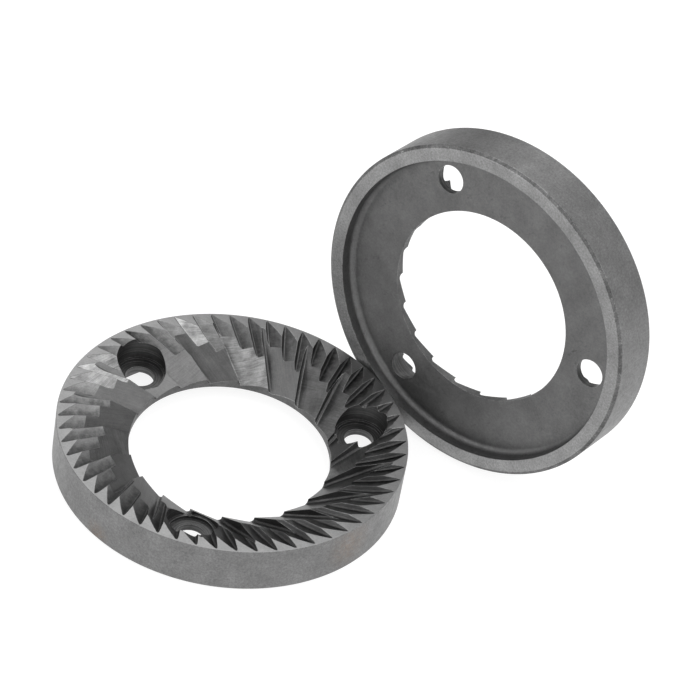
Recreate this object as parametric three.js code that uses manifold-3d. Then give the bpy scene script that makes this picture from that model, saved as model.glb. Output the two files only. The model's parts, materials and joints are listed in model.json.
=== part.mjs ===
// A matched pair of flat grinding burrs for a burr coffee grinder.
// Each burr is a hardened steel ring: a toothed face with fine cutting teeth round the rim and
// long feeding teeth (breakers) that run down into the bore, a dished back, and three
// counterbored screw holes. The lower burr lies on its back with its teeth up; the upper burr
// stands on its rim beside it, turned so that its back shows.
// Millimetres and degrees, +Z up, the origin on the ground under the middle of the pair.

import * as THREE from 'three';
import { ConvexGeometry } from 'three/addons/geometries/ConvexGeometry.js';
import { mergeVertices } from 'three/addons/utils/BufferGeometryUtils.js';
import Module from 'manifold-3d';

const wasm = await Module();
wasm.setup();

// Ring
const OUTER_RADIUS = 32;
const BORE_RADIUS = 18.5;
const THICKNESS = 9.25;
const RING_SEGMENTS = 112;

// Back: a shallow dish inside a flat rim, with a broken outer edge
const RECESS_RADIUS = 29;
const RECESS_DEPTH = 2.8;
const RECESS_FILLET = 0.6;
const BACK_CHAMFER_RADIAL = 0.6;
const BACK_CHAMFER_AXIAL = 0.4;

// Screw holes: clearance for M5, with a stepped seat for the screw's head
const SCREW_COUNT = 3;
const SCREW_CIRCLE_RADIUS = 24.5;
const SCREW_HOLE_RADIUS = 2.7;
const HEAD_RADIUS = 4.7;
const SEAT_RADIUS = 4.2;
const SEAT_HEIGHT = 4.2;
const STEP_HEIGHT = 4.9;
const HOLE_SEGMENTS = 32;
const FIRST_SCREW_ANGLE = 19.5;

// Teeth. Each groove has a steep wall and a ramp that meet in a straight foot. In plan the foot
// misses the burr's axis by `offset`. It leaves the face at `startRadius`, where the groove is
// at `firstAngle`, and falls towards the bore. The cut ends at `endRadius`.
const FINE_TEETH = {
  count: 56,
  offset: 9.0,
  startRadius: 32,
  endRadius: 19.5,
  footSlope: 12.3,
  rampAngle: 20.8,
  wallLean: 20,
  firstAngle: 1.2,
};
const BREAKERS = {
  count: 20,
  offset: 10.1,
  startRadius: 30.1,
  endRadius: 16,
  footSlope: 24.4,
  rampAngle: 34.4,
  wallLean: 8,
  firstAngle: 14.4,
};

// Place of the upper burr: how far the middle of its back lies from the lower burr's axis, the
// way its teeth face (from +Y towards +X), how far it leans forward, and its turn on its own axis
const UPPER_OFFSET_X = 38.9;
const UPPER_OFFSET_Y = 14.65;
const UPPER_HEADING = 34;
const UPPER_LEAN = 4.2;
const UPPER_TURN = 40.5;

const DEGREES = Math.PI / 180;
const sin = (degrees) => Math.sin(degrees * DEGREES);
const cos = (degrees) => Math.cos(degrees * DEGREES);
const tan = (degrees) => Math.tan(degrees * DEGREES);

// How far a cutter reaches past the face it cuts through, and past the next groove's foot
const OVERSHOOT = 2;
const OVERLAP = 0.6;

function toManifold(geometry) {
  const plain = geometry.index ? geometry.toNonIndexed() : geometry.clone();
  plain.deleteAttribute('normal');
  plain.deleteAttribute('uv');
  const merged = mergeVertices(plain, 1e-5);
  return new wasm.Manifold(new wasm.Mesh({
    numProp: 3,
    vertProperties: new Float32Array(merged.attributes.position.array),
    triVerts: new Uint32Array(merged.index.array),
  }));
}

function toGeometry(manifold) {
  const mesh = manifold.getMesh();
  const geometry = new THREE.BufferGeometry();
  geometry.setAttribute('position', new THREE.BufferAttribute(mesh.vertProperties, 3));
  geometry.setIndex(new THREE.BufferAttribute(mesh.triVerts, 1));
  geometry.computeVertexNormals();
  return geometry;
}

// A solid of revolution about +Z from a closed outline of [radius, height] points.
function turned(outline, segments) {
  const points = [...outline, outline[0]].map(([radius, height]) => new THREE.Vector2(radius, height));
  const geometry = new THREE.LatheGeometry(points, segments);
  geometry.rotateX(Math.PI / 2);
  return geometry;
}

function ringBlank() {
  const filletTop = RECESS_DEPTH - RECESS_FILLET;
  return toManifold(turned([
    [RECESS_RADIUS, 0],
    [OUTER_RADIUS - BACK_CHAMFER_RADIAL, 0],
    [OUTER_RADIUS, BACK_CHAMFER_AXIAL],
    [OUTER_RADIUS, THICKNESS],
    [BORE_RADIUS, THICKNESS],
    [BORE_RADIUS, RECESS_DEPTH],
    [RECESS_RADIUS - RECESS_FILLET, RECESS_DEPTH],
    [RECESS_RADIUS, filletTop],
  ], RING_SEGMENTS));
}

// The solid that one groove removes, with its foot along +X at y = -offset. In plan it fills the
// wedge between this foot and the previous one, so its ramp meets the previous steep wall in a
// straight ridge.
function grooveCutter(tooth) {
  const along = (radius) => Math.sqrt(radius ** 2 - tooth.offset ** 2);
  const startX = along(tooth.startRadius);
  const innerX = along(tooth.endRadius);
  const outerX = along(OUTER_RADIUS + OVERSHOOT);
  const pitch = (2 * Math.PI) / tooth.count;
  const zAxis = new THREE.Vector3(0, 0, 1);
  const previous = (x) => new THREE.Vector3(x, -tooth.offset - OVERLAP, 0).applyAxisAngle(zAxis, -pitch);
  const rampHeight = (x, y) => THICKNESS - (startX - x) * tan(tooth.footSlope)
    + (-tooth.offset - y) * tan(tooth.rampAngle);
  const top = THICKNESS + OVERSHOOT;
  const points = [innerX, outerX].flatMap((x) => {
    const far = previous(x);
    const foot = new THREE.Vector3(x, -tooth.offset, rampHeight(x, -tooth.offset));
    const lean = (top - foot.z) * tan(tooth.wallLean);
    return [
      foot,
      new THREE.Vector3(x, foot.y + lean, top),
      new THREE.Vector3(far.x, far.y, rampHeight(far.x, far.y)),
      new THREE.Vector3(far.x, far.y, Math.max(top, rampHeight(far.x, far.y) + OVERSHOOT)),
    ];
  });
  return new ConvexGeometry(points);
}

function grooveCutters(tooth) {
  const startAngle = tooth.firstAngle * DEGREES + Math.asin(tooth.offset / tooth.startRadius);
  return Array.from({ length: tooth.count }, (_, index) => {
    const turn = startAngle + (index * 2 * Math.PI) / tooth.count;
    return toManifold(grooveCutter(tooth).rotateZ(turn));
  });
}

function screwHoleCutters() {
  const outline = [
    [0, -OVERSHOOT],
    [SCREW_HOLE_RADIUS, -OVERSHOOT],
    [SCREW_HOLE_RADIUS, SEAT_HEIGHT],
    [SEAT_RADIUS, SEAT_HEIGHT],
    [SEAT_RADIUS, STEP_HEIGHT],
    [HEAD_RADIUS, STEP_HEIGHT],
    [HEAD_RADIUS, THICKNESS + OVERSHOOT],
    [0, THICKNESS + OVERSHOOT],
  ];
  return Array.from({ length: SCREW_COUNT }, (_, index) => {
    const angle = FIRST_SCREW_ANGLE + (index * 360) / SCREW_COUNT;
    const cutter = turned(outline, HOLE_SEGMENTS);
    cutter.translate(SCREW_CIRCLE_RADIUS * cos(angle), SCREW_CIRCLE_RADIUS * sin(angle), 0);
    return toManifold(cutter);
  });
}

function burrGeometry() {
  const cutters = [...grooveCutters(BREAKERS), ...grooveCutters(FINE_TEETH), ...screwHoleCutters()];
  const burr = cutters.reduce((solid, cutter) => solid.subtract(cutter), ringBlank());
  return toGeometry(burr);
}

function steel(color) {
  return new THREE.MeshStandardMaterial({ color, roughness: 0.42, metalness: 1 });
}

const burr = burrGeometry();

const lowerBurr = new THREE.Mesh(burr, steel(0x8b8b8a));
lowerBurr.name = 'lower_burr';

const upperBurr = new THREE.Mesh(burr.clone(), steel(0x7e7e7d));
upperBurr.name = 'upper_burr';

// The upper burr's axis points to its toothed side, which leans down until the rim rests on z = 0.
const upperAxis = new THREE.Vector3(
  sin(UPPER_HEADING) * cos(UPPER_LEAN),
  cos(UPPER_HEADING) * cos(UPPER_LEAN),
  -sin(UPPER_LEAN),
);
const sideways = new THREE.Vector3(0, 0, 1).cross(upperAxis).normalize();
const upwards = upperAxis.clone().cross(sideways);
const standing = new THREE.Matrix4().makeBasis(sideways, upwards, upperAxis);
const ownTurn = new THREE.Matrix4().makeRotationZ(UPPER_TURN * DEGREES);
upperBurr.quaternion.setFromRotationMatrix(standing.multiply(ownTurn));
upperBurr.position.set(
  UPPER_OFFSET_X,
  UPPER_OFFSET_Y,
  OUTER_RADIUS * cos(UPPER_LEAN) + THICKNESS * sin(UPPER_LEAN),
);

// The pair stands over the origin: the middle of its bounding box, seen from above, is at 0, 0.
const pair = new THREE.Group();
pair.add(lowerBurr, upperBurr);
const middle = new THREE.Box3().setFromObject(pair, true).getCenter(new THREE.Vector3());
pair.position.set(-middle.x, -middle.y, 0);

export default pair;
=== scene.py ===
"""Two flat coffee grinder burrs on a pale floor: one lies with its teeth up, one stands on its rim.

Both are cut from the same ring, in millimetres, in the burr's own frame: its back lies on z = 0 and
its teeth point along +Z. Each copy is then put where the frame says its CAD node is.
"""
import json
import math

import bpy
import numpy as np
from mathutils import Matrix, Vector


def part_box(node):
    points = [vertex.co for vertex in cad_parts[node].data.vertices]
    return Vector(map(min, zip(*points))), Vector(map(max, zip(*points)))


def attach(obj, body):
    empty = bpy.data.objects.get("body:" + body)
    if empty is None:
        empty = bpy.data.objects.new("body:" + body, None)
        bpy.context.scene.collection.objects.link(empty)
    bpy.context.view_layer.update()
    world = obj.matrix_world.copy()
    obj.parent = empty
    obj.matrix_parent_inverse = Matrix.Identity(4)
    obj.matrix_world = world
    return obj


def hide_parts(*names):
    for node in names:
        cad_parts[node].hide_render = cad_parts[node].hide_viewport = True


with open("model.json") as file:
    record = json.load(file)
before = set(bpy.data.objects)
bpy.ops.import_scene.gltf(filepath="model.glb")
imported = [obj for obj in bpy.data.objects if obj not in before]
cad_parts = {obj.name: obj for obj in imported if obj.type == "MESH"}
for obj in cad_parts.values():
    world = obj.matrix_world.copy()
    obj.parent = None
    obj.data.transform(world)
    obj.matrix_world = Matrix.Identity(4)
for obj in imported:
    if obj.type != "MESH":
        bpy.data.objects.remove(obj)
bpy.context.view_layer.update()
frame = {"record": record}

MM = 0.001

# Ring
OUTER_RADIUS = 32.0
BORE_RADIUS = 18.5
THICKNESS = 9.25
RING_SEGMENTS = 560

# Back: a shallow dish inside a flat rim, with a broken outer edge
RECESS_RADIUS = 29.0
RECESS_DEPTH = 2.8
RECESS_FILLET = 1.1
FILLET_STEPS = 8
BACK_CHAMFER_RADIAL = 0.6
BACK_CHAMFER_AXIAL = 0.4

# Screw holes
SCREW_COUNT = 3
SCREW_CIRCLE_RADIUS = 24.5
SCREW_HOLE_RADIUS = 2.7
HEAD_RADIUS = 4.7
SEAT_RADIUS = 4.2
SEAT_HEIGHT = 4.2
STEP_HEIGHT = 4.9
HOLE_SEGMENTS = 96
FIRST_SCREW_ANGLE = 19.5

# Teeth. Each groove has a steep wall and a ramp that meet in a rounded foot. In plan the foot
# misses the axis by `offset`, leaves the face at `start_radius`, where the groove is at
# `first_angle`, and falls towards the bore until `end_radius`. `bow` is how much deeper the foot
# runs than a straight line between its start and `bow_length` further in. The groove's section is
# swept over a number of `stations`.
FINE_TEETH = dict(count=56, offset=9.0, start_radius=32.0, end_radius=19.5, foot_slope=12.3,
                  ramp_angle=24.5, wall_lean=26.0, first_angle=1.2, fillet=0.35, bow=0.4,
                  bow_length=7.5, stations=18)
BREAKERS = dict(count=20, offset=10.1, start_radius=30.1, end_radius=16.0, foot_slope=24.4,
                ramp_angle=34.4, wall_lean=8.0, first_angle=14.4, fillet=0.45, bow=0.0,
                bow_length=10.0, stations=2)

# Steps of a foot's fillet, and how many of them look like a part of the wall
FOOT_STEPS = 6
WALL_STEPS = 4

# How far a cutter reaches past the face it cuts through, and past the next groove's foot
OVERSHOOT = 2.0
OVERLAP = 0.6

# Edges that turn by more than EDGE_ANGLE are rounded
EDGE_ROUNDING = 0.05
EDGE_STEPS = 2
EDGE_ANGLE = 24.0

# A face takes its exact surface's normals where they lie within NORMAL_MATCH degrees of its own.
# It is upright or level to within LEVEL_MATCH of its normal's height.
NORMAL_MATCH = 8.0
LEVEL_MATCH = 0.001
TINY = 0.001

# The standing burr: its turn on its own axis, and how far its mount lies from that axis
UPPER_TURN = 40.5
SEAT_MOUNT_RADIUS = 30.2

# Surfaces, in the order of the material slots
LAND, FINE, BREAKER, WALL, SIDE, CHAMFER, RIM, DISH, BORE, HOLE, EDGE = range(11)
TEETH = {FINE: FINE_TEETH, BREAKER: BREAKERS}

# Grooves, by number, with a painted highlight above 0 and painted shade below 0: 1 is as bright as
# `bright` says
GROOVE_SHEEN_AND_SHADE = {
    BREAKER: {0: 1.1, 2: 0.6, 3: 0.6, 5: 1.1, 7: 0.4, 11: 0.5, 12: 0.2, 13: -0.7, 14: -0.6,
              15: -0.7, 18: 0.6},
    FINE: {0: -0.7, 1: -0.6, 2: -0.2, 6: -0.4, 7: -0.5, 8: -0.5, 9: -0.4, 10: -0.2, 12: 0.2,
           15: 0.1, 16: 0.2, 17: 0.7, 18: 2.3, 19: 0.5, 21: -0.4, 23: 0.2, 24: 1.1, 25: 1.2,
           26: 0.8, 27: 0.25, 30: 0.1, 31: 0.1, 54: -0.8, 55: -0.9},
}

# How far apart the grooves lie in the noises, so that no two look the same
NUMBER_GAP = 7.0

# The noises that the steels are made of. Their scales are for millimetres, and a stretch below 1
# draws a noise out that way. Most of a noise's values lie between NOISE_LOW and NOISE_HIGH.
NOISE_LOW = 0.3
NOISE_HIGH = 0.7
CLOUDS = dict(scale=0.22, detail=5)
SPECKS = dict(scale=2.6, detail=6, roughness=0.75)
STREAKS = dict(scale=1.3, detail=5, roughness=0.6, stretch=(0.25, 0.25, 1.5))
TURNED_MARKS = dict(scale=2.6, detail=3, roughness=0.6, stretch=(1, 1, 0))
DENTS = dict(scale=0.55, detail=8, roughness=0.72, stretch=(1, 0.45, 1))
CHIPS = dict(scale=1.7, detail=6, roughness=0.75, stretch=(1, 1, 0.6))
WEAR = dict(scale=1.1, detail=6, roughness=0.65)
GRAIN = dict(scale=7.0, detail=5, roughness=0.7)
CRUMBS = dict(scale=1.5, detail=6, roughness=0.7)
SCRATCHES = dict(scale=1.6, detail=5, roughness=0.6, stretch=(0.12, 2.4, 1))
CUTTER_ARCS = dict(scale=1.0, detail=4, roughness=0.65, distortion=0.8)
ARC_PATCHES = dict(scale=0.8, detail=4, roughness=0.6, stretch=(0.5, 0.5, 1))
GROOVE_SPECKS = dict(scale=3.0, detail=6, roughness=0.7)
GROOVE_CLOUDS = dict(scale=0.35, detail=4)
FOOT_SHADE_RAGS = dict(scale=0.9, detail=5, roughness=0.6)

# Where dents and chips begin and where they are whole, as values of their noises
DENT_RANGE = (0.60, 0.72)
CHIP_RANGE = (0.58, 0.66)

# How much smoother and rougher a plain steel is in places
SMOOTHER = 0.08
ROUGHER = 0.1

# Rust: its colour, how much of it there is between and in its crumbs, where those begin and are
# whole, and the part of a spot's radius inside which it is strongest
RUST = (0.26, 0.16, 0.09, 1)
RUST_SHARE = (0.05, 0.34)
CRUMB_RANGE = (0.4, 0.62)
RUST_CORE = 0.2

# The cutter's arcs in a bright groove: their middle as seen from the groove, how close they are,
# how fast they change across the groove, and how dark and bright they and their patches are
CUTTER_MIDDLE = (40, -14, 0)
ARC_CLOSENESS = 5.0
ARC_CHANGE = 0.35
ARC_RANGE = (0.32, 0.68)
ARC_TONES = (0.72, 1.36)
PATCH_TONES = (0.55, 1.3)

# What the scratches, specks and clouds make of a groove's tone, its roughness and its relief
SCRATCH_TONES = (0.88, 1.1)
SPECK_SPREAD = 0.12
CLOUD_SPREAD = 0.1
SPECK_ROUGHNESS = (0.94, 1.08)
SCRATCH_SMOOTHER = 0.05
SCRATCH_ROUGHER = 0.06
SCRATCH_DEPTH = 0.012
GROOVE_GRAIN = 0.01

# Painted shade in a groove's foot, where the wall shades the ramp: where it starts to thin out and
# ends, in mm up the ramp from the foot, and how ragged its border is
FOOT_SHADE_START = 0.3
FOOT_SHADE_END = 2.0
FOOT_SHADE_RAGGED = 0.7

# Painted shade and painted light across the burr, where light falls unevenly on it: the grooves are
# darker on one side, and the lands and edges go from lighter to darker across it. Each of these is
# an angle, two distances from the axis towards it, and the shares of the tone there.
GROOVE_SIDE_SHADE = (283, 13, 24, 1, 0.5)
LAND_LIGHT_AND_SHADE = (40, 0, 28, 1.5, 0.85)
EDGE_LIGHT_AND_SHADE = (30, -25, 25, 0.8, 1.25)

# The floor, and the faint light from all round
FLOOR_HALF = 3.0
FLOOR_TONE = 0.25
FLOOR_ROUGHNESS = 0.9
FLOOR_GLOW = 0.86
WORLD_GLOW = 0.02

# The studio, in metres: each softbox's azimuth, elevation and glow
SOFTBOX_SIZE = 0.8
SOFTBOX_DISTANCE = 0.9
SOFTBOXES = (
    (0, 12, 1.0), (60, 12, 0.7), (120, 12, 0.5), (240, 12, 0.5), (300, 12, 1.9),
    (60, 45, 2.0), (120, 45, 0.45), (180, 45, 1.3), (300, 45, 1.2),
    (180, 80, 1.1),
)

# The camera: where it is, in metres from the middle of the lying burr's back, the way it looks,
# in degrees, and its lens and sensor, in millimetres
CAMERA_FROM_LOWER = (0, -0.4165, 0.3782)
CAMERA_HEADING = 2.49
CAMERA_PITCH = -39.73
CAMERA_ROLL = 10.71
CAMERA_LENS = 158.2
CAMERA_SENSOR = 36


def tan(degrees):
    return math.tan(math.radians(degrees))


def mesh_object(name, points, faces, kinds, grooves=None):
    """A mesh with the number of its surface and the number of its groove on each face."""
    mesh = bpy.data.meshes.new(name)
    mesh.from_pydata([tuple(p) for p in points], [], faces)
    mesh.update()
    for surface in STEELS:
        mesh.materials.append(surface)
    mesh.polygons.foreach_set("material_index", np.array(kinds, np.int32))
    groove = mesh.attributes.new("groove", "INT", "FACE")
    groove.data.foreach_set("value", np.array(grooves or [0] * len(faces), np.int32))
    made = bpy.data.objects.new(name, mesh)
    bpy.context.scene.collection.objects.link(made)
    return made


def turned(outline, kinds, segments):
    """A ring or a rod: the closed outline of (radius, height) points, turned about Z.
    kinds[i] is the surface that the edge after point i makes. A radius of 0 is one point."""
    points, rows = [], []
    for radius, height in outline:
        if radius == 0:
            rows.append([len(points)] * segments)
            points.append((0, 0, height))
            continue
        rows.append(list(range(len(points), len(points) + segments)))
        for k in range(segments):
            angle = 2 * math.pi * k / segments
            points.append((radius * math.cos(angle), radius * math.sin(angle), height))
    faces, face_kinds = [], []
    for i, kind in enumerate(kinds):
        a, b = rows[i], rows[(i + 1) % len(rows)]
        for k in range(segments):
            n = (k + 1) % segments
            corners = list(dict.fromkeys([a[k], a[n], b[n], b[k]]))
            if len(corners) > 2:
                faces.append(corners)
                face_kinds.append(kind)
    return points, faces, face_kinds


def arc(centre, radius, start, end, steps):
    """Points on an arc from one angle to another, in degrees."""
    angles = np.radians(np.linspace(start, end, steps + 1))
    return [(centre[0] + radius * math.cos(a), centre[1] + radius * math.sin(a)) for a in angles]


def ring_blank():
    """The burr before it is cut."""
    fillet = arc((RECESS_RADIUS - RECESS_FILLET, RECESS_DEPTH - RECESS_FILLET), RECESS_FILLET,
                 90, 0, FILLET_STEPS)
    outline = [
        (RECESS_RADIUS, 0),
        (OUTER_RADIUS - BACK_CHAMFER_RADIAL, 0),
        (OUTER_RADIUS, BACK_CHAMFER_AXIAL),
        (OUTER_RADIUS, THICKNESS),
        (BORE_RADIUS, THICKNESS),
        (BORE_RADIUS, RECESS_DEPTH),
    ] + fillet
    kinds = [RIM, CHAMFER, SIDE, LAND, BORE, DISH] + [DISH] * len(fillet)
    return mesh_object("blank", *turned(outline, kinds, RING_SEGMENTS))


def along_foot(tooth, radius):
    """How far along a groove's foot, from its nearest point to the axis, it reaches a radius."""
    return math.sqrt(radius ** 2 - tooth["offset"] ** 2)


def groove_section(tooth):
    """The groove's section as (y, z) from the sharp foot: the end of the fillet on the wall's side
    first, and its end on the ramp's side last."""
    wall = Vector((tan(tooth["wall_lean"]), 1)).normalized()
    ramp = Vector((-1, tan(tooth["ramp_angle"]))).normalized()
    half = wall.angle(ramp) / 2
    centre = (wall + ramp).normalized() * (tooth["fillet"] / math.sin(half))
    start = wall * (tooth["fillet"] / math.tan(half)) - centre
    end = ramp * (tooth["fillet"] / math.tan(half)) - centre
    first, last = math.atan2(start.y, start.x), math.atan2(end.y, end.x)
    if first < last:
        first += 2 * math.pi
    return [(centre.x + tooth["fillet"] * math.cos(a), centre.y + tooth["fillet"] * math.sin(a))
            for a in np.linspace(first, last, FOOT_STEPS + 1)]


def groove_cutter(tooth, kind):
    """What one groove removes, with its foot along +X at y = -offset, swept over the stations."""
    offset = tooth["offset"]
    start_x = along_foot(tooth, tooth["start_radius"])

    def depth(x):
        run = start_x - x
        bow = tooth["bow"] * (1 - run / tooth["bow_length"]) if run > 0 else tooth["bow"]
        return run * tan(tooth["foot_slope"]) * (1 + bow)

    def ramp_height(x, y):
        return THICKNESS - depth(x) + (-offset - y) * tan(tooth["ramp_angle"])

    pitch = 2 * math.pi / tooth["count"]
    top = THICKNESS + OVERSHOOT
    section = groove_section(tooth)
    points, rows = [], []
    for x in np.linspace(along_foot(tooth, tooth["end_radius"]),
                         along_foot(tooth, OUTER_RADIUS + OVERSHOOT), tooth["stations"]):
        foot_z = THICKNESS - depth(x)
        far = Matrix.Rotation(-pitch, 2) @ Vector((x, -offset - OVERLAP))
        row = [(x, -offset + (top - foot_z) * tan(tooth["wall_lean"]), top)]
        row += [(x, -offset + y, foot_z + z) for y, z in section]
        row += [(far.x, far.y, ramp_height(far.x, far.y))]
        row += [(far.x, far.y, max(top, ramp_height(far.x, far.y) + OVERSHOOT))]
        rows.append(range(len(points), len(points) + len(row)))
        points += row
    faces, kinds = [tuple(rows[0]), tuple(reversed(rows[-1]))], [WALL, WALL]
    for a, b in zip(rows, rows[1:]):
        for i in range(len(a)):
            j = (i + 1) % len(a)
            faces.append((a[j], a[i], b[i], b[j]))
            kinds.append(WALL if i <= WALL_STEPS else kind)
    return points, faces, kinds


def spun(cutter, turns):
    """Copies of a cutter turned about Z, as one mesh."""
    points, faces, kinds = cutter
    all_points, all_faces, all_kinds = [], [], []
    for turn in turns:
        spin = Matrix.Rotation(turn, 3, "Z")
        base = len(all_points)
        all_points += [spin @ Vector(p) for p in points]
        all_faces += [[base + i for i in face] for face in faces]
        all_kinds += kinds
    return all_points, all_faces, all_kinds


def cut(target, cutter):
    """Takes the cutter away from the target, and deletes the cutter."""
    modifier = target.modifiers.new("cut", "BOOLEAN")
    modifier.operation = "DIFFERENCE"
    modifier.solver = "MANIFOLD"
    modifier.object = cutter
    bpy.context.view_layer.update()
    evaluated = target.evaluated_get(bpy.context.evaluated_depsgraph_get())
    result = bpy.data.meshes.new_from_object(evaluated)
    target.modifiers.clear()
    target.data = result
    bpy.data.objects.remove(cutter)


def groove_turn(tooth, number):
    """How far groove `number` is turned from +X, in radians."""
    first = math.radians(tooth["first_angle"]) + math.asin(tooth["offset"] / tooth["start_radius"])
    return first + 2 * math.pi * number / tooth["count"]


def cut_grooves(target, tooth, kind):
    """Neighbouring cutters overlap, so every other groove is cut first, and the rest after them."""
    cutter = groove_cutter(tooth, kind)
    for half in (0, 1):
        numbers = range(half, tooth["count"], 2)
        points, faces, kinds = spun(cutter, [groove_turn(tooth, number) for number in numbers])
        grooves = [number for number in numbers for _ in cutter[1]]
        cut(target, mesh_object("grooves", points, faces, kinds, grooves))


def screw_turns():
    """How far each screw hole is turned from +X, in radians."""
    return [math.radians(FIRST_SCREW_ANGLE + 360 * k / SCREW_COUNT) for k in range(SCREW_COUNT)]


def cut_screw_holes(target):
    outline = [
        (0, -OVERSHOOT),
        (SCREW_HOLE_RADIUS, -OVERSHOOT),
        (SCREW_HOLE_RADIUS, SEAT_HEIGHT),
        (SEAT_RADIUS, SEAT_HEIGHT),
        (SEAT_RADIUS, STEP_HEIGHT),
        (HEAD_RADIUS, STEP_HEIGHT),
        (HEAD_RADIUS, THICKNESS + OVERSHOOT),
        (0, THICKNESS + OVERSHOOT),
    ]
    points, faces, kinds = turned(outline, [HOLE] * (len(outline) - 1), HOLE_SEGMENTS)
    points = [(x + SCREW_CIRCLE_RADIUS, y, z) for x, y, z in points]
    cut(target, mesh_object("holes", *spun((points, faces, kinds), screw_turns())))


def make_burr():
    burr = ring_blank()
    cut_grooves(burr, BREAKERS, BREAKER)
    cut_grooves(burr, FINE_TEETH, FINE)
    cut_screw_holes(burr)
    return burr


def from_screw(x, y):
    """How far the points of one face lie from the axis of the screw nearest to it, as (x, y)."""
    turns = screw_turns()
    centres = SCREW_CIRCLE_RADIUS * np.column_stack([np.cos(turns), np.sin(turns)])
    apart = np.column_stack([x, y])[:, None, :] - centres
    nearest = np.linalg.norm(apart, axis=2)[0].argmin()
    return apart[:, nearest]


def ramp_normals(tooth, number, x, y):
    """On a groove's ramp, from how steeply it falls along its foot and across it."""
    turn = groove_turn(tooth, number)
    start_x = along_foot(tooth, tooth["start_radius"])
    run = start_x - (x * math.cos(turn) + y * math.sin(turn))
    falls = tan(tooth["foot_slope"]) * (1 + tooth["bow"] * (1 - 2 * run / tooth["bow_length"]))
    across = tan(tooth["ramp_angle"])
    return np.column_stack([-falls * math.cos(turn) - across * math.sin(turn),
                            across * math.cos(turn) - falls * math.sin(turn), np.ones(len(x))])


def fillet_normals(x, y, z):
    """On the dish's wall and fillet: towards the middle of the fillet's arc."""
    radius = np.hypot(x, y)
    inward = np.maximum(radius - (RECESS_RADIUS - RECESS_FILLET), TINY)
    down = np.maximum(z - (RECESS_DEPTH - RECESS_FILLET), 0)
    return np.column_stack([-x / radius * inward, -y / radius * inward, -down])


def smooth_normals(mesh):
    """Exact normals: flat faces stay flat up to their rounded edges, and curved ones are round."""
    points = np.array([v.co for v in mesh.vertices])
    normals = np.array([n.vector for n in mesh.corner_normals])
    for polygon, groove in zip(mesh.polygons, mesh.attributes["groove"].data):
        kind, flat = polygon.material_index, np.array(polygon.normal)
        if kind == EDGE:
            continue
        x, y, z = points[polygon.vertices].T
        level = np.zeros(len(x))
        exact = np.tile(flat, (len(x), 1))
        upright = abs(flat[2]) < LEVEL_MATCH
        if kind == SIDE:
            exact = np.column_stack([x, y, level])
        elif kind == BORE:
            exact = np.column_stack([-x, -y, level])
        elif kind == HOLE and upright:
            exact = np.column_stack([-from_screw(x, y), level])
        elif kind == DISH and flat[2] > -1 + LEVEL_MATCH:
            exact = fillet_normals(x, y, z)
        elif kind in TEETH:
            exact = ramp_normals(TEETH[kind], groove.value, x, y)
        exact /= np.linalg.norm(exact, axis=1)[:, None]
        if exact.mean(0) @ flat < math.cos(math.radians(NORMAL_MATCH)):
            continue
        normals[list(polygon.loop_indices)] = exact
    mesh.normals_split_custom_set(normals.tolist())


def dress(burr):
    """Rounds the sharp edges a little, so they catch the light, and shades the curves smooth. The
    bevel isn't clamped, because the smallest face would then shrink it everywhere. Where it
    overshoots, it is pressed back to the burr's thickness."""
    bevel = burr.modifiers.new("edges", "BEVEL")
    bevel.width = EDGE_ROUNDING
    bevel.segments = EDGE_STEPS
    bevel.limit_method = "ANGLE"
    bevel.angle_limit = math.radians(EDGE_ANGLE)
    bevel.use_clamp_overlap = False
    bevel.material = EDGE
    evaluated = burr.evaluated_get(bpy.context.evaluated_depsgraph_get())
    burr.data = bpy.data.meshes.new_from_object(evaluated)
    burr.modifiers.clear()
    for vertex in burr.data.vertices:
        vertex.co.z = min(vertex.co.z, THICKNESS)
    for polygon in burr.data.polygons:
        polygon.use_smooth = True
    burr.data.set_sharp_from_angle(angle=math.radians(EDGE_ANGLE))
    smooth_normals(burr.data)


def mark(burr):
    """Writes what the materials read: `own`, each point in the burr's own frame; `foot`, the same
    point seen from its groove (along the foot, across it, the groove's number) or from its screw
    (distance, height); and, on each groove's faces, its painted highlight and painted shade, how
    much brighter or darker it is than the rest."""
    mesh = burr.data
    own = mesh.attributes.new("own", "FLOAT_VECTOR", "POINT")
    points = np.array([v.co for v in mesh.vertices])
    own.data.foreach_set("vector", points.ravel())
    seen = np.zeros((len(mesh.loops), 3))
    sheen_and_shade = np.zeros(len(mesh.polygons))
    for polygon, groove in zip(mesh.polygons, mesh.attributes["groove"].data):
        corners = list(polygon.loop_indices)
        x, y, z = points[polygon.vertices].T
        if polygon.material_index in TEETH:
            tooth = TEETH[polygon.material_index]
            turn = groove_turn(tooth, groove.value)
            seen[corners, 0] = x * math.cos(turn) + y * math.sin(turn)
            seen[corners, 1] = y * math.cos(turn) - x * math.sin(turn) + tooth["offset"]
            seen[corners, 2] = NUMBER_GAP * groove.value
            sheen_and_shade[polygon.index] = GROOVE_SHEEN_AND_SHADE[polygon.material_index].get(groove.value, 0)
        elif polygon.material_index == HOLE:
            seen[corners, 0] = np.linalg.norm(from_screw(x, y), axis=1)
            seen[corners, 1] = z
    mesh.attributes.new("foot", "FLOAT_VECTOR", "CORNER").data.foreach_set("vector", seen.ravel())
    mesh.attributes.new("sheen_and_shade", "FLOAT", "FACE").data.foreach_set("value", sheen_and_shade)


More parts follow.
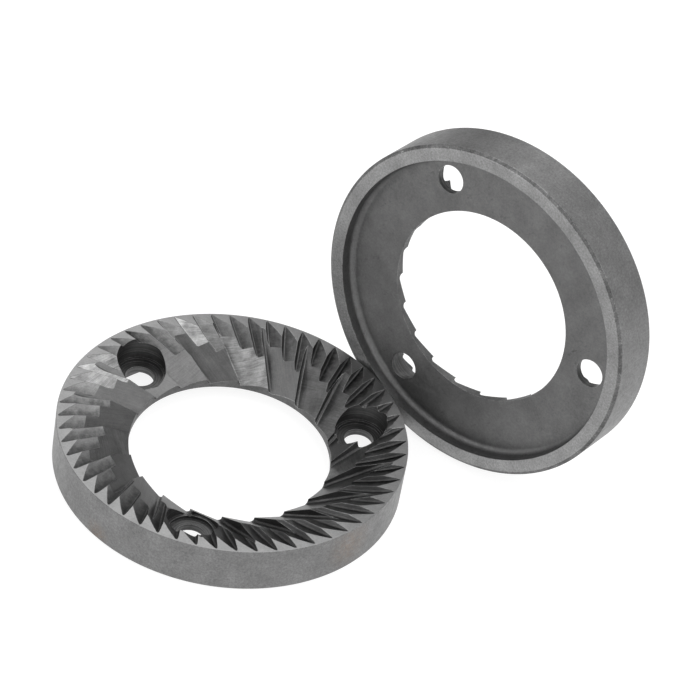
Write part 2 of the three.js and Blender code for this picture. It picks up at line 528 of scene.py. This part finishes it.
class Nodes:
    """Short names for building one material's nodes."""

    def __init__(self, name):
        self.material = bpy.data.materials.new(name)
        self.material.use_nodes = True
        self.tree = self.material.node_tree
        self.shader = self.tree.nodes["Principled BSDF"]

    def add(self, kind, inputs=None, **settings):
        node = self.tree.nodes.new(kind)
        for key, value in settings.items():
            setattr(node, key, value)
        for key, value in (inputs or {}).items():
            if isinstance(value, bpy.types.NodeSocket):
                self.tree.links.new(value, node.inputs[key])
            else:
                node.inputs[key].default_value = value
        return node

    def attribute(self, name, output="Vector"):
        return self.add("ShaderNodeAttribute", attribute_name=name).outputs[output]

    def scaled(self, vector, scale):
        node = self.add("ShaderNodeVectorMath", {0: vector, 1: scale}, operation="MULTIPLY")
        return node.outputs["Vector"]

    def noise(self, vector, scale, detail, roughness=0.55, distortion=0.0, stretch=None):
        if stretch:
            vector = self.scaled(vector, stretch)
        return self.add("ShaderNodeTexNoise", {"Vector": vector, "Scale": scale, "Detail": detail,
                                               "Roughness": roughness,
                                               "Distortion": distortion}).outputs["Fac"]

    def distance(self, a, b):
        return self.add("ShaderNodeVectorMath", {0: a, 1: b},
                        operation="DISTANCE").outputs["Value"]

    def ranged(self, value, low, high, start=NOISE_LOW, end=NOISE_HIGH):
        """Maps start..end to low..high, and holds it there outside."""
        return self.add("ShaderNodeMapRange", {"Value": value, "From Min": start, "From Max": end,
                                               "To Min": low, "To Max": high}).outputs["Result"]

    def varied(self, value, spread):
        """A noise as shares of a tone, from 1 - spread to 1 + spread."""
        return self.ranged(value, 1 - spread, 1 + spread)

    def math(self, operation, a, b):
        return self.add("ShaderNodeMath", {0: a, 1: b}, operation=operation).outputs["Value"]

    def product(self, *values):
        result = values[0]
        for value in values[1:]:
            result = self.math("MULTIPLY", result, value)
        return result

    def mixed(self, factor, a, b):
        """Mixes two numbers. A factor above 1 goes on past b, and one below 0 past a."""
        return self.add("ShaderNodeMix", {"Factor": factor, "A": a, "B": b}, data_type="FLOAT",
                        clamp_factor=False).outputs["Result"]

    def fade(self, angle, start, end, low, high):
        """Changes from low to high across the burr, between two distances from its axis, in mm,
        towards an angle round it."""
        towards = (math.cos(math.radians(angle)), math.sin(math.radians(angle)), 0)
        along = self.add("ShaderNodeVectorMath", {0: self.attribute("own"), 1: towards},
                         operation="DOT_PRODUCT").outputs["Value"]
        return self.ranged(along, low, high, start, end)

    def finish(self, tone, roughness, bumps, rust=None):
        """Grey base colour from a tone, with a share of rust, and bumps as (height, distance in
        mm) one on another."""
        grey = self.add("ShaderNodeCombineColor", {"Red": tone, "Green": tone, "Blue": tone})
        color = grey.outputs["Color"]
        if rust:
            rusty = self.add("ShaderNodeMix", data_type="RGBA")
            self.tree.links.new(rust, rusty.inputs["Factor"])
            self.tree.links.new(color, rusty.inputs["A"])
            rusty.inputs["B"].default_value = RUST
            color = rusty.outputs["Result"]
        self.tree.links.new(color, self.shader.inputs["Base Color"])
        self.tree.links.new(roughness, self.shader.inputs["Roughness"])
        self.shader.inputs["Metallic"].default_value = 1
        normal = None
        for height, distance in bumps:
            bump = self.add("ShaderNodeBump", {"Height": height, "Distance": distance * MM})
            if normal:
                self.tree.links.new(normal, bump.inputs["Normal"])
            normal = bump.outputs["Normal"]
        if normal:
            self.tree.links.new(normal, self.shader.inputs["Normal"])
        return self.material


def rust_share(n, own, spots):
    """How much rust there is: crumbs of it, thinning out from the middle of each spot."""
    crumbs = n.ranged(n.noise(own, **CRUMBS), *RUST_SHARE, *CRUMB_RANGE)
    share = 0
    for middle, radius in spots:
        near = n.ranged(n.distance(own, middle), 1, 0, RUST_CORE * radius, radius)
        share = n.math("MAXIMUM", share, n.product(near, crumbs))
    return share


def worn_steel(name, tone, roughness, mottle, speckle, grain=0.012, streaks=0.0, rings=0.0,
               scuffs=0.0, flecks=0.0, fade=None, spots=()):
    """Plain hardened steel: cloudy patches, specks and a grain. `streaks` run round the ring,
    `rings` round a screw, `scuffs` are small dark marks, `flecks` small bright ones, `fade` changes
    the tone across the burr as painted light and shade, and each of the spots has a little rust."""
    n = Nodes(name)
    own = n.attribute("own")
    tones = [tone, n.varied(n.noise(own, **CLOUDS), mottle),
             n.varied(n.noise(own, **SPECKS), speckle)]
    if streaks:
        tones.append(n.varied(n.noise(own, **STREAKS), streaks))
    if rings:
        tones.append(n.varied(n.noise(n.attribute("foot"), **TURNED_MARKS), rings))
    if scuffs:
        tones.append(n.ranged(n.noise(own, **DENTS), 1, 1 - scuffs, *DENT_RANGE))
    if flecks:
        tones.append(n.ranged(n.noise(own, **CHIPS), 1, 1 + flecks, *CHIP_RANGE))
    if fade:
        tones.append(n.fade(*fade))
    rough = n.ranged(n.noise(own, **WEAR), roughness - SMOOTHER, roughness + ROUGHER)
    rust = rust_share(n, own, spots) if spots else None
    return n.finish(n.product(*tones), rough, [(n.noise(own, **GRAIN), grain)], rust)


def cutter_arcs(n, foot):
    """The fine bright arcs that the cutter leaves across a groove, in patches."""
    parts = n.add("ShaderNodeSeparateXYZ", {"Vector": foot}).outputs
    reach = n.distance(n.scaled(foot, (1, 1, 0)), CUTTER_MIDDLE)
    swing = n.add("ShaderNodeCombineXYZ", {"X": n.product(reach, ARC_CLOSENESS),
                                           "Y": n.product(parts["Y"], ARC_CHANGE),
                                           "Z": parts["Z"]}).outputs["Vector"]
    arcs = n.ranged(n.noise(swing, **CUTTER_ARCS), *ARC_TONES, *ARC_RANGE)
    return n.product(arcs, n.ranged(n.noise(foot, **ARC_PATCHES), *PATCH_TONES))


def shade_in_foot(n, own, foot, foot_shade):
    """Painted shade in a groove's foot, where the wall shades the ramp: what it leaves of the
    groove's tone, the given share in the foot, and all of it higher up.
    """
    up_ramp = n.add("ShaderNodeSeparateXYZ", {"Vector": foot}).outputs["Y"]
    rags = n.ranged(n.noise(own, **FOOT_SHADE_RAGS), -FOOT_SHADE_RAGGED, FOOT_SHADE_RAGGED)
    return n.ranged(n.math("ADD", up_ramp, rags), foot_shade, 1, -FOOT_SHADE_START, -FOOT_SHADE_END)


def groove_steel(name, tone, roughness, bright, foot_shade, fade):
    """Milled grooves. Faint scratches run along the foot. Where a groove's painted highlight is 1,
    the steel has the tone `bright`, none of the painted shade in its foot, and fine arcs across it.
    Above 1 the painted highlight is brighter still, and below 0 painted shade makes the groove
    darker than the rest, with more of it in the foot. `fade` changes the tone across the burr, as
    painted shade on one side."""
    n = Nodes(name)
    own, foot = n.attribute("own"), n.attribute("foot")
    sheen_and_shade = n.attribute("sheen_and_shade", "Fac")
    up_to_one = n.math("MINIMUM", sheen_and_shade, 1)
    scratches = n.noise(foot, **SCRATCHES)
    marks = n.mixed(n.math("MAXIMUM", up_to_one, 0), n.ranged(scratches, *SCRATCH_TONES),
                    cutter_arcs(n, foot))
    crease_shade = n.mixed(up_to_one, shade_in_foot(n, own, foot, foot_shade), 1)
    specks = n.noise(own, **GROOVE_SPECKS)
    clouds = n.noise(own, **GROOVE_CLOUDS)
    shade = n.product(n.mixed(sheen_and_shade, tone, bright), crease_shade, n.fade(*fade), marks,
                      n.varied(specks, SPECK_SPREAD), n.varied(clouds, CLOUD_SPREAD))
    rough = n.product(n.ranged(scratches, roughness - SCRATCH_SMOOTHER,
                               roughness + SCRATCH_ROUGHER),
                      n.ranged(specks, *SPECK_ROUGHNESS))
    bumps = [(scratches, SCRATCH_DEPTH), (n.noise(own, **GRAIN), GROOVE_GRAIN)]
    return n.finish(shade, rough, bumps)


def on_side(angle, height):
    """A point on the burr's outer side, in its own frame."""
    return (OUTER_RADIUS * math.cos(math.radians(angle)),
            OUTER_RADIUS * math.sin(math.radians(angle)), height)


# The rust on the side: the middle and radius of each spot
SIDE_RUST = ((on_side(317.5, 5.5), 5.5), (on_side(229.5, 1.6), 3.0))


def mount(name):
    """One of the record's mounts."""
    return next(m for m in frame["record"]["mounts"] if m["name"] == name)


def lower_place():
    """The lying burr's back is in the middle of its CAD node's box, at the bottom."""
    low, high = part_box("lower_burr")
    middle = (low + high) / 2
    return Matrix.Translation((middle.x, middle.y, low.z))


def upper_place():
    """The standing burr's seat mount is a point on its back rim, straight up from its axis."""
    seat = mount("upper_burr_seat")
    axis = -Vector(seat["axis"]).normalized()
    sideways = Vector((0, 0, 1)).cross(axis).normalized()
    upwards = axis.cross(sideways)
    centre = Vector(seat["pos_m"]) - upwards * SEAT_MOUNT_RADIUS * MM
    standing = Matrix((sideways, upwards, axis)).transposed().to_4x4()
    return Matrix.Translation(centre) @ standing @ Matrix.Rotation(math.radians(UPPER_TURN), 4, "Z")


def place(burr, node, matrix):
    """The burr's place goes into its mesh, as a CAD node's does."""
    burr.name = node + "_steel"
    burr.data.transform(matrix @ Matrix.Scale(MM, 4))
    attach(burr, node)
    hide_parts(node)


def floor_material():
    """Pale and dull, with a glow of its own that leaves only faint shadows."""
    material = bpy.data.materials.new("floor")
    material.use_nodes = True
    shader = material.node_tree.nodes["Principled BSDF"]
    shader.inputs["Base Color"].default_value = (FLOOR_TONE, FLOOR_TONE, FLOOR_TONE, 1)
    shader.inputs["Roughness"].default_value = FLOOR_ROUGHNESS
    shader.inputs["Emission Color"].default_value = (1, 1, 1, 1)
    shader.inputs["Emission Strength"].default_value = FLOOR_GLOW
    return material


def make_floor():
    points = [(x * FLOOR_HALF, y * FLOOR_HALF, 0) for x, y in ((-1, -1), (1, -1), (1, 1), (-1, 1))]
    mesh = bpy.data.meshes.new("floor")
    mesh.from_pydata(points, [], [(0, 1, 2, 3)])
    floor = bpy.data.objects.new("floor", mesh)
    floor.data.materials.append(floor_material())
    bpy.context.scene.collection.objects.link(floor)


def softbox(name, azimuth, elevation, glow):
    """An area light that faces the pair. Azimuth 0 is on the viewer's side, and 90 on the right.
    `glow` is how bright it looks, where the floor's white is 1."""
    light = bpy.data.lights.new(name, "AREA")
    light.shape = "SQUARE"
    light.size = SOFTBOX_SIZE
    light.energy = glow * math.pi * SOFTBOX_SIZE ** 2
    lamp = bpy.data.objects.new(name, light)
    a, e = math.radians(azimuth), math.radians(elevation)
    away = Vector((math.sin(a) * math.cos(e), -math.cos(a) * math.cos(e), math.sin(e)))
    lamp.location = away * SOFTBOX_DISTANCE
    lamp.rotation_mode = "QUATERNION"
    lamp.rotation_quaternion = away.to_track_quat("Z", "Y")
    bpy.context.scene.collection.objects.link(lamp)


def make_world():
    world = bpy.data.worlds.new("studio")
    world.use_nodes = True
    world.node_tree.nodes["Background"].inputs["Color"].default_value = (1, 1, 1, 1)
    world.node_tree.nodes["Background"].inputs["Strength"].default_value = WORLD_GLOW
    bpy.context.scene.world = world


def make_camera():
    heading, pitch, roll = (math.radians(a) for a in (CAMERA_HEADING, CAMERA_PITCH, CAMERA_ROLL))
    forward = Vector((math.sin(heading) * math.cos(pitch), math.cos(heading) * math.cos(pitch),
                      math.sin(pitch)))
    level = Vector((math.cos(heading), -math.sin(heading), 0))
    right = level * math.cos(roll) + level.cross(forward) * math.sin(roll)
    up = right.cross(forward)
    camera = bpy.data.objects.new("camera", bpy.data.cameras.new("camera"))
    camera.data.lens = CAMERA_LENS
    camera.data.sensor_width = CAMERA_SENSOR
    camera.matrix_world = (Matrix.Translation(lower_place().translation + Vector(CAMERA_FROM_LOWER))
                           @ Matrix((right, up, -forward)).transposed().to_4x4())
    bpy.context.scene.collection.objects.link(camera)
    bpy.context.scene.camera = camera


# In the order of the surfaces
STEELS = [
    # The fades across the lands, grooves and worn edges, the shade in the grooves' feet, and the
    # single brighter and darker grooves are painted light and shade
    worn_steel("ground_land", tone=0.195, roughness=0.36, mottle=0.10, speckle=0.12,
               fade=LAND_LIGHT_AND_SHADE),
    groove_steel("fine_groove", tone=0.235, roughness=0.36, bright=0.35, foot_shade=0.42,
                 fade=GROOVE_SIDE_SHADE),
    groove_steel("breaker", tone=0.16, roughness=0.38, bright=0.25, foot_shade=0.8, fade=GROOVE_SIDE_SHADE),
    worn_steel("groove_wall", tone=0.08, roughness=0.45, mottle=0.30, speckle=0.27),
    worn_steel("side", tone=0.198, roughness=0.45, mottle=0.13, speckle=0.32, streaks=0.03,
               spots=SIDE_RUST),
    worn_steel("chamfer", tone=0.14, roughness=0.55, mottle=0.40, speckle=0.50, scuffs=0.6,
               flecks=1.3),
    worn_steel("rim", tone=0.28, roughness=0.42, mottle=0.16, speckle=0.36),
    worn_steel("dish", tone=0.167, roughness=0.50, mottle=0.14, speckle=0.17, grain=0.02,
               scuffs=0.4),
    worn_steel("bore", tone=0.13, roughness=0.50, mottle=0.25, speckle=0.22, grain=0.02,
               scuffs=0.5),
    worn_steel("hole", tone=0.10, roughness=0.45, mottle=0.15, speckle=0.14, rings=0.40),
    worn_steel("worn_edge", tone=0.19, roughness=0.34, mottle=0.30, speckle=0.60,
               fade=EDGE_LIGHT_AND_SHADE),
]

lower = make_burr()
dress(lower)
mark(lower)
upper = lower.copy()
upper.data = lower.data.copy()
bpy.context.scene.collection.objects.link(upper)
place(lower, "lower_burr", lower_place())
place(upper, "upper_burr", upper_place())

bpy.context.scene.view_settings.view_transform = "Standard"
make_floor()
make_world()
for number, (azimuth, elevation, glow) in enumerate(SOFTBOXES):
    softbox(f"softbox_{number}", azimuth, elevation, glow)
make_camera()
